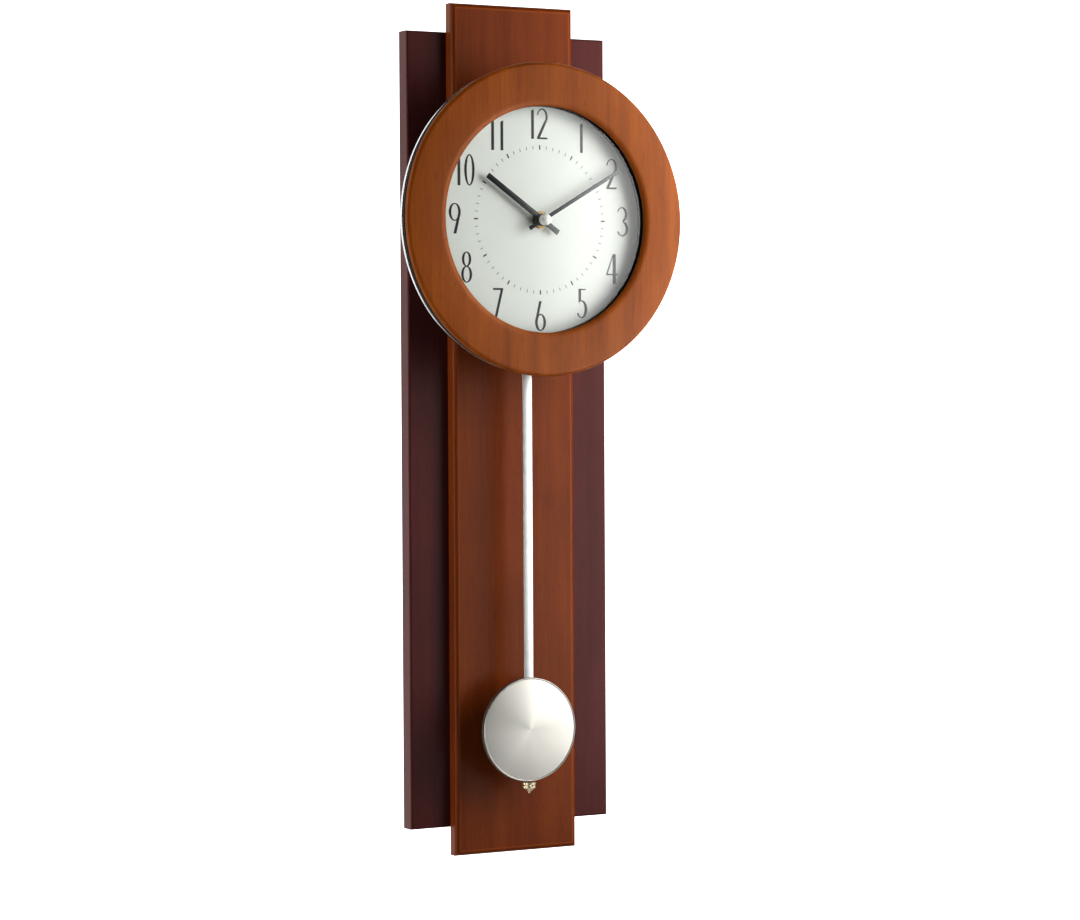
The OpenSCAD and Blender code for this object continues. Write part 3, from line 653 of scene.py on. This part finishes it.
# Each digit's width, height, straight strokes and bowls, in millimetres from its lower left corner.
# A straight stroke is four corners. A bowl has an outer and an inner ellipse, each a middle and two
# half sizes, and the angles that it runs between.
DIGITS = {
    "0": (6.1, 16.5, [], [((3.05, 8.25, 3.05, 8.25), (3.05, 8.25, 1.6, 7.65), 0, 360)]),
    "1": (1.6, 15.8, [[(0, 0), (1.6, 0), (1.6, 15.8), (0, 15.05)]], []),
    "2": (6.6, 16.3,
          [[(0, 0), (6.3, 0), (6.3, 0.9), (0, 0.9)], [(0, 0.85), (1.75, 0.85), (5.95, 9.5), (4.65, 9.9)]],
          [((3.25, 11.9, 3.25, 4.4), (2.95, 11.9, 2.3, 3.75), 168, -33)]),
    "3": (6.4, 15.9, [],
          [((2.7, 11.9, 3.2, 4.0), (2.35, 11.9, 2.1, 3.35), 155, -80),
           ((2.9, 4.1, 3.5, 4.1), (2.6, 4.1, 2.3, 3.45), 80, -158)]),
    "4": (7.3, 16.0,
          [[(4, 0), (5.9, 0), (5.9, 16), (4, 16)], [(0, 4.7), (7.3, 4.7), (7.3, 5.37), (0, 5.37)],
           [(0, 5.3), (0.8, 5.3), (4.05, 14.4), (4.05, 16)]], []),
    "5": (6.3, 15.7,
          [[(0.95, 15.1), (5.4, 15.1), (5.4, 15.7), (0.95, 15.7)],
           [(0.95, 8.75), (2.5, 9.0), (2.5, 15.3), (0.95, 15.3)]],
          [((2.9, 4.8, 3.4, 4.8), (2.6, 4.8, 2.0, 4.2), 125, -152)]),
    "6": (6.6, 15.9, [[(0, 5.0), (1.55, 5.4), (4.0, 15.9), (2.5, 15.9)]],
          [((3.3, 4.6, 3.3, 4.6), (3.3, 4.6, 1.75, 4.0), 0, 360)]),
    "7": (6.0, 15.7,
          [[(0, 14.7), (6, 14.7), (6, 15.7), (0, 15.7)],
           [(0.8, 0), (2.25, 0), (6, 14.8), (4.55, 14.8)]], []),
    "8": (6.4, 16.4, [],
          [((3.2, 12.45, 2.75, 3.95), (3.2, 12.45, 1.35, 3.4), 0, 360),
           ((3.2, 4.45, 3.2, 4.45), (3.2, 4.45, 1.8, 3.9), 0, 360)]),
    "9": (7.05, 16.0, [[(2.7, 0), (4.4, 0), (7.05, 11.0), (5.55, 10.6)]],
          [((3.52, 11.3, 3.52, 4.7), (3.52, 11.3, 2.07, 4.15), 0, 360)]),
}
DIGIT_GAPS = {"10": 2.4, "11": 3.95, "12": 1.9}
BOWL_STEPS = 40


def ink_ring(bm, outer, inner, first, last, place):
    """A curved stroke: the band between two ellipses, joined by bridging their edges."""
    full = abs(last - first) >= 360
    edges = []
    for x, z, across, up in (outer, inner):
        points = arc((x, z), across, up, first, last, BOWL_STEPS)
        verts = [bm.verts.new(place(*p)) for p in (points[:-1] if full else points)]
        ends = verts[1:] + (verts[:1] if full else [])
        edges += [bm.edges.new(pair) for pair in zip(verts, ends)]
    return bmesh.ops.bridge_loops(bm, edges=edges)["faces"]


def ink_bar(bm, corners, place):
    """A straight stroke."""
    return [bm.faces.new([bm.verts.new(place(*p)) for p in corners])]


class CLOCK_OT_dial(bpy.types.Operator):
    """Presses the dial plate and prints the twelve numerals and the minute track on it"""
    bl_idname = "clock.dial"
    bl_label = "Dial"

    def execute(self, context):
        back, face = depths("dial_plate")
        rim = radius("dial_plate")
        nut_lap = 0.78
        hole = radius("bushing_nut") - nut_lap
        edge = 0.1
        profile = [(hole, back), (rim, back), (rim, face - edge), (rim - edge, face)]
        profile += [(hole + edge, face), (hole, face - edge)]
        piece("dial_face", turned(profile), CLOCK, "dial_print", replaces=["dial_plate"],
              shift=(0, 0, DIAL_Z))
        self.numerals()
        self.marks("five_minute_marks", range(0, 60, 5), length=2.4, width=0.7, ink=screen_ink)
        self.marks("minute_marks", [i for i in range(60) if i % 5], length=1.7, width=0.35, ink=grey_ink)
        return {"FINISHED"}

    def numerals(self):
        bm = bmesh.new()
        for hour in range(1, 13):
            text = str(hour)
            gap = DIGIT_GAPS.get(text, 0)
            wide = sum(DIGITS[c][0] for c in text) + gap
            tall = max(DIGITS[c][1] for c in text)
            turn = radians(30 * hour)
            ring = sizes().numerals / MM
            left = ring * sin(turn) - wide / 2
            low = ring * cos(turn) - tall / 2
            for character in text:
                self.digit(bm, character, left, low)
                left += DIGITS[character][0] + gap
        piece("hour_numerals", bm, CLOCK, "hand_paint", maker=screen_ink,
              shift=(0, -DIAL_FACE * MM, DIAL_Z))

    def digit(self, bm, character, left, low):
        def place(x, z):
            return ((left + x) * MM, 0, (low + z) * MM)

        strokes = [ink_bar(bm, corners, place) for corners in DIGITS[character][2]]
        strokes += [ink_ring(bm, *bowl, place) for bowl in DIGITS[character][3]]
        apart = 0.1  # share of a layer, so that crossing strokes do not share a plane
        for i, faces in enumerate(strokes):
            raised(bm, faces, sizes().print_height * (1 + apart * i))

    def marks(self, name, minutes, length, width, ink):
        bm = bmesh.new()
        middle_r = sizes().track / MM
        for minute in minutes:
            made = [bm.verts.new((x * width / 2 * MM, 0, (middle_r + z * length / 2) * MM))
                    for x, z in ((-1, -1), (1, -1), (1, 1), (-1, 1))]
            face = bm.faces.new(made)
            bmesh.ops.rotate(bm, matrix=Matrix.Rotation(radians(6 * minute), 3, "Y"), verts=made)
            raised(bm, [face], sizes().print_height)
        piece(name, bm, CLOCK, "hand_paint", maker=ink, shift=(0, -DIAL_FACE * MM, DIAL_Z))


class CLOCK_OT_hands(bpy.types.Operator):
    """Stamps the two baton hands and turns the domed nut that holds them"""
    bl_idname = "clock.hands"
    bl_label = "Hands"

    def execute(self, context):
        self.baton("baton_hour", "hour_hand", "hour", angle=305, length=40, tail=11.8, width=3.0, hub=3.4)
        self.baton("baton_minute", "minute_hand", "minute", angle=60, length=53.4, tail=9.6, width=2.0,
                   hub=2.7)
        back, front = depths("cap_nut")
        wide = radius("cap_nut")
        edge = 0.15
        dome = 2
        profile = [(0, back), (wide - edge, back), (wide, back + edge)]
        profile += arc((0, front - dome), wide, dome, 0, 90, 14)
        piece("dome_nut", turned(profile, 64), "minute", "nut_ivory", replaces=["cap_nut"],
              shift=(0, 0, DIAL_Z))
        return {"FINISHED"}

    def baton(self, name, node, body, angle, length, tail, width, hub):
        edge = 0.1
        back, front = depths(node)
        bm = bmesh.new()
        block(bm, (-width / 2, -front, -tail), (width / 2, -back, length), edge)
        disc = bmesh.ops.create_cone(bm, cap_ends=True, segments=48, radius1=hub * MM, radius2=hub * MM,
                                     depth=(front - back) * MM)["verts"]
        bmesh.ops.rotate(bm, matrix=Matrix.Rotation(pi / 2, 3, "X"), verts=disc)
        bmesh.ops.translate(bm, vec=(0, -(back + front) / 2 * MM, 0), verts=disc)
        rims = [e for e in bm.edges if e.verts[0] in disc and len(e.link_faces) == 2
                and e.calc_face_angle(0) > 1]
        rounded_edges(bm, rims, edge * MM, 2)
        bmesh.ops.rotate(bm, matrix=Matrix.Rotation(radians(angle), 3, "Y"), verts=bm.verts)
        piece(name, bm, body, "hand_paint", replaces=[node], shift=(0, 0, DIAL_Z))


# The rating nut's outline in millimetres: for its collars, how far in from the rim and down from the
# top; for its cone, the radius and how far down; for its cup, the radius and how far out past the rim.
NUT_COLLARS = ((0.3, 0), (0, 0.3), (0, 1.2), (0.3, 1.4), (0.8, 1.5), (0.8, 1.9), (0.3, 2.0), (0, 2.2),
               (0, 3.1), (0.4, 3.4))
NUT_CONE = ((1.0, 5.3), (0.7, 5.5))
NUT_CUP = ((0, -0.6), (0.45, -0.35), (0.8, 0.05), (1.15, 0.05), (1.45, -0.3))


class CLOCK_OT_pendulum(bpy.types.Operator):
    """Makes the pendulum's flat rod, its spun bob with a rolled bead, and the knurled rating nut"""
    bl_idname = "clock.pendulum"
    bl_label = "Pendulum"

    def execute(self, context):
        self.rod()
        self.bob()
        self.nut()
        return {"FINISHED"}

    def rod(self):
        low, high = (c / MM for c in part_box("pendulum_rod"))
        edge = 0.25
        bm = bmesh.new()
        block(bm, low, high, edge)
        piece("flat_rod", bm, "pendulum", "rod_metal", replaces=["pendulum_rod"])

    def bob(self):
        back, crown = depths("bob_front")
        wide = radius("bob_front")
        bead = sizes().bob_bead / MM
        skin = 0.5
        rise = 1
        groove = 0.1
        groove_depth = 0.12
        bead_lift = 0.25
        steps = 24
        face = crown - rise
        flat = wide - 2 * bead - groove
        ball = (flat ** 2 + rise ** 2) / (2 * rise)
        reaches = [flat * i / steps for i in range(steps + 1)]
        dome = [(r, crown - ball + (ball ** 2 - r ** 2) ** 0.5) for r in reaches]
        profile = dome + [(flat + groove, face - groove_depth)]
        profile += arc((wide - bead, face - bead + bead_lift), bead, bead, 160, 0, 8)
        profile += [(wide, back), (wide - skin, back), (wide - skin, face - 2 * bead)]
        profile += [(r, d - skin) for r, d in reversed(dome)]
        piece("spun_bob", turned(profile), "pendulum", "bob_metal", replaces=["bob_front"],
              shift=(0, 0, middle("bob_front").z), crease=45)

    def nut(self):
        """Two knurled collars over a cone and a drop, with a small cupped boss on the front."""
        low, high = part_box("rating_nut")
        top = high.z / MM
        wide = (high.x - low.x) / 2 / MM
        tip = low.z / MM
        teeth = 48
        knurl_end = top - 3.5
        knurl = 0.97
        profile = [(0, top)] + [(wide - inset, top - down) for inset, down in NUT_COLLARS]
        profile += [(reach, top - down) for reach, down in NUT_CONE]
        profile += arc((0, tip + 0.55), 0.65, 0.55, 10, -90, 6)
        bm = turned([(r, -z) for r, z in profile], teeth)
        bmesh.ops.rotate(bm, matrix=Matrix.Rotation(pi / 2, 3, "X"), verts=bm.verts)
        for vert in bm.verts:
            angle = Vector((vert.co.x, vert.co.y)).angle_signed(Vector((1, 0)), 0)
            if vert.co.z > knurl_end * MM and round(angle / (2 * pi) * teeth) % 2:
                vert.co.x *= knurl
                vert.co.y *= knurl
        depth = -(low.y + high.y) / 2 / MM
        bmesh.ops.translate(bm, vec=(0, -depth * MM, 0), verts=bm.verts)
        cup = [(reach, depth + wide + out) for reach, out in NUT_CUP]
        boss = turned(cup + [(NUT_CUP[-1][0], depth)], 32)
        bmesh.ops.translate(boss, vec=(0, 0, (top - 1.9) * MM), verts=boss.verts)
        held = bpy.data.meshes.new("boss")
        boss.to_mesh(held)
        boss.free()
        bm.from_mesh(held)
        bpy.data.meshes.remove(held)
        piece("knurled_nut", bm, "pendulum", "ornament_metal", replaces=["rating_nut"])


class CLOCK_OT_head(bpy.types.Operator):
    """Spins the silver pan behind the dial and moulds the black spacer between pan and ring"""
    bl_idname = "clock.head"
    bl_label = "Pan and spacer"

    def execute(self, context):
        back, rim_top = depths("head_pan")
        wide = radius("head_pan")
        sheet = 0.8
        bend = 0.4
        play = 0.2
        nut_lap = 0.8
        wall = wide - radius("spacer_ring")
        step = radius("dial_plate") + play
        hole = radius("bushing_nut") - nut_lap
        profile = [(hole, back)] + arc((wide - bend, back + bend), bend, bend, -90, 0, 4)
        profile += arc((wide - wall / 2, rim_top - wall / 2), wall / 2, wall / 2, 0, 180, 6)
        profile += [(wide - wall, DIAL_FACE), (step, DIAL_FACE)]
        profile += [(step, back + sheet), (hole, back + sheet)]
        piece("silver_pan", turned(profile), CLOCK, "silver_metal", replaces=["head_pan"],
              shift=(0, 0, DIAL_Z))
        front = depths("spacer_ring")[1]
        ring_back = depths("bezel_ring")[0]
        outer = radius("spacer_ring")
        inner = sizes().opening / MM + play
        seat = radius("lens_gasket")
        edge = 0.2
        profile = [(inner, DIAL_FACE), (outer, DIAL_FACE)]
        profile += arc((outer - edge, ring_back - edge), edge, edge, 0, 90, 3)
        profile += [(seat, ring_back), (seat, front), (inner, front)]
        piece("black_spacer", turned(profile), CLOCK, "black_plastic", replaces=["spacer_ring"],
              shift=(0, 0, DIAL_Z))
        return {"FINISHED"}


class CLOCK_OT_cell(bpy.types.Operator):
    """Makes the battery with its crimped ends, and the coiled spring that it presses on"""
    bl_idname = "clock.cell"
    bl_label = "Battery and spring"

    def execute(self, context):
        low, high = (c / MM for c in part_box("battery"))
        wide = (high.z - low.z) / 2
        nub = 1.3
        shoulder = 0.9
        nub_edge = 0.3
        dish, rim = 3.6, 3.9
        body_end = high.x - nub
        centre = middle("battery")
        profile = [(0, low.x + 0.3), (dish, low.x + 0.3), (rim, low.x), (wide - shoulder, low.x)]
        profile += [(wide - 0.6, low.x + 0.5), (wide - 0.1, low.x + 0.7), (wide, low.x + 1.0)]
        profile += [(wide, body_end - 1.0)]
        profile += arc((wide - shoulder, body_end - shoulder), shoulder, shoulder, 0, 90, 5)
        profile += [(rim, body_end), (dish, body_end - 0.25), (2.75, body_end - 0.25)]
        profile += [(2.7, high.x - nub_edge)]
        profile += arc((2.4, high.x - nub_edge), nub_edge, nub_edge, 0, 90, 3) + [(0, high.x)]
        bm = turned(profile, 72)
        bmesh.ops.rotate(bm, matrix=Matrix.Rotation(pi / 2, 3, "Z"), verts=bm.verts)
        piece("sleeved_cell", bm, "cell", "battery_sleeve", replaces=["battery"],
              shift=(0, centre.y, centre.z))
        self.spring(low.x, centre)
        return {"FINISHED"}

    def spring(self, cell_end, centre):
        """A flat plate with a cone of wire that tightens from the plate to the cell."""
        low, high = (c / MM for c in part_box("contact_negative"))
        sheet = 0.4
        plate = low.x + sheet
        plate_edge = 0.08
        wire_r = 0.22
        turns = 2.5
        steps = 70
        wide_reach = 4.2
        taper = 1.9
        gap = 0.05
        bm = bmesh.new()
        block(bm, (low.x, low.y, low.z), (plate, high.y, high.z), plate_edge)
        curve = bpy.data.curves.new("spring", "CURVE")
        curve.dimensions = "3D"
        curve.bevel_depth = wire_r * MM
        curve.bevel_resolution = 2
        curve.use_fill_caps = True
        line = curve.splines.new("POLY")
        line.points.add(steps)
        for i, point in enumerate(line.points):
            share = i / steps
            turn = 2 * pi * turns * share
            reach = (wide_reach - taper * share) * MM
            along = (plate + wire_r + (cell_end - plate - 2 * wire_r - gap) * share) * MM
            point.co = (along, centre.y + reach * cos(turn), centre.z + reach * sin(turn), 1)
        holder = bpy.data.objects.new("spring", curve)
        wire = bpy.data.meshes.new_from_object(holder)
        bm.from_mesh(wire)
        bpy.data.objects.remove(holder)
        bpy.data.meshes.remove(wire)
        piece("spring_contact", bm, CLOCK, "spring_steel", replaces=["contact_negative"])


class CLOCK_OT_finishes(bpy.types.Operator):
    """Gives every CAD node that still shows the finish of its slot"""
    bl_idname = "clock.finishes"
    bl_label = "Finishes"

    def execute(self, context):
        for name, obj in frame["nodes"].items():
            if obj.hide_render:
                continue
            material = finish(FINISHES[SLOT_OF[name]])
            if not obj.material_slots:
                raise RuntimeError(f"{name} has no material slot")
            for slot in obj.material_slots:
                slot.link = "OBJECT"
                slot.material = material
        return {"FINISHED"}


# Where the camera stands, in millimetres, its yaw, pitch and roll in degrees, and its sensor and lens
CAMERA_PLACE = (-840.6, -1562.9, -161.1)
CAMERA_TURN = (28.96, -1.47, -0.30)
CAMERA_SENSOR = 36.0
CAMERA_LENS = 108.53


class CLOCK_OT_stage(bpy.types.Operator):
    """Sets up the pale floor and backdrop, the soft light panels and the camera"""
    bl_idname = "clock.stage"
    bl_label = "Stage"

    def execute(self, context):
        scene = context.scene
        scene.view_settings.view_transform = "Standard"
        scene.view_settings.gamma = 0.86
        scene.view_settings.exposure = 0.65
        self.sweep()
        key = self.panel("key_panel", azimuth=48, elevation=4, away=0.6, width=0.6, height=0.68,
                         strength=5.8, fade=(0.09, 0.48))
        key.visible_glossy = False  # only the card shows in gloss, so the glass stays free of the panel
        card = self.panel("gloss_card", azimuth=35, elevation=-1, away=0.6, width=0.42, height=0.76,
                          strength=4.8, fade=(0.02, 0.8))
        card.visible_diffuse = False
        self.panel("side_panel", azimuth=-88, elevation=5, away=2.5, width=0.5, height=2.4,
                   strength=8, fade=(0.0, 0.3))
        world = bpy.data.worlds.new("studio")
        world.use_nodes = True
        background = world.node_tree.nodes["Background"].inputs
        background["Color"].default_value = (0.96, 0.98, 1.0, 1)
        background["Strength"].default_value = 0.03
        scene.world = world
        self.camera(scene)
        return {"FINISHED"}

    def show(self, name, bm, material):
        mesh = bpy.data.meshes.new(name)
        bm.to_mesh(mesh)
        bm.free()
        mesh.materials.append(material)
        obj = bpy.data.objects.new(name, mesh)
        bpy.context.scene.collection.objects.link(obj)
        return obj

    def sweep(self):
        """A floor well below the clock and a backdrop well behind it."""
        lying = Matrix.Translation((0, -1.0, -1.5))
        upright = Matrix.Translation((0, 3.0, 1.5)) @ Matrix.Rotation(pi / 2, 4, "X")
        for name, place, paper in (("floor", lying, studio_paper), ("backdrop", upright, lit_paper)):
            bm = bmesh.new()
            bmesh.ops.create_grid(bm, x_segments=8, y_segments=8, size=4.0, matrix=place)
            self.show(name, bm, finish(paper))

    def panel(self, name, azimuth, elevation, away, width, height, strength, fade):
        """A soft light panel that faces the dial, its size and distance in metres.

        It fades in across its width, between two shares of it.
        """
        bm = bmesh.new()
        uv = bm.loops.layers.uv.new("UVMap")
        bmesh.ops.create_grid(bm, x_segments=1, y_segments=1, size=0.5, calc_uvs=True)
        side, lift = radians(azimuth), radians(elevation)
        toward = Vector((sin(side) * cos(lift), -cos(side) * cos(lift), sin(lift)))
        turn = toward.to_track_quat("Z", "Y").to_matrix().to_4x4()
        spot = Matrix.Translation(toward * away + Vector((0, 0, DIAL_Z)))
        size = Matrix.Diagonal((width, height, 1, 1))
        bmesh.ops.transform(bm, matrix=spot @ turn @ size, verts=bm.verts)
        bmesh.ops.reverse_faces(bm, faces=bm.faces)
        m = start(name)
        u = add(m, "SeparateXYZ", {"Vector": add(m, "UVMap", uv_map=uv.name)}).outputs["X"]
        ramp = add(m, "MapRange",
                   {"Value": u, "From Min": fade[0], "From Max": fade[1], "To Max": strength},
                   interpolation_type="SMOOTHSTEP")
        add(m, "OutputMaterial", {"Surface": add(m, "Emission", {"Strength": ramp})})
        obj = self.show(name, bm, m)
        obj.visible_camera = False
        return obj

    def camera(self, scene):
        """A long lens to the left of the clock and a little below its dial, turned towards it."""
        yaw, pitch, roll = (radians(a) for a in CAMERA_TURN)
        look = Vector((sin(yaw) * cos(pitch), cos(yaw) * cos(pitch), sin(pitch)))
        right = Vector((cos(yaw), -sin(yaw), 0))
        up = right.cross(look)
        x_axis = cos(roll) * right + sin(roll) * up
        y_axis = cos(roll) * up - sin(roll) * right
        data = bpy.data.cameras.new("camera")
        data.sensor_width = CAMERA_SENSOR
        data.lens = CAMERA_LENS
        data.clip_end = 30.0
        obj = bpy.data.objects.new("camera", data)
        place = Matrix((x_axis, y_axis, -look)).transposed().to_4x4()
        place.translation = Vector(CAMERA_PLACE) * MM
        obj.matrix_world = place
        scene.collection.objects.link(obj)
        scene.camera = obj


class CLOCK_PT_panel(bpy.types.Panel):
    """Lists the clock's pieces, sizes and colours"""
    bl_idname = "CLOCK_PT_panel"
    bl_label = "Pendulum wall clock"
    bl_space_type = "VIEW_3D"
    bl_region_type = "UI"
    bl_category = "Clock"

    def draw(self, context):
        for group in (context.scene.clock_sizes, context.scene.clock_colours):
            box = self.layout.box()
            for name in group.__annotations__:
                box.prop(group, name)
        for operator in OPERATORS:
            self.layout.operator(operator.bl_idname)


OPERATORS = (CLOCK_OT_ring, CLOCK_OT_glass, CLOCK_OT_dial, CLOCK_OT_hands, CLOCK_OT_pendulum,
             CLOCK_OT_head, CLOCK_OT_cell, CLOCK_OT_finishes, CLOCK_OT_stage)
CLASSES = (ClockSizes, ClockColours) + OPERATORS + (CLOCK_PT_panel,)


def register():
    for cls in CLASSES:
        bpy.utils.register_class(cls)
    bpy.types.Scene.clock_sizes = bpy.props.PointerProperty(type=ClockSizes)
    bpy.types.Scene.clock_colours = bpy.props.PointerProperty(type=ClockColours)


def unregister():
    del bpy.types.Scene.clock_colours
    del bpy.types.Scene.clock_sizes
    for cls in reversed(CLASSES):
        bpy.utils.unregister_class(cls)


def main():
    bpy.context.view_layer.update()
    register()
    bpy.ops.clock.ring()
    bpy.ops.clock.glass()
    bpy.ops.clock.dial()
    bpy.ops.clock.hands()
    bpy.ops.clock.pendulum()
    bpy.ops.clock.head()
    bpy.ops.clock.cell()
    bpy.ops.clock.finishes()
    bpy.ops.clock.stage()


if __name__ == "__main__":
    main()
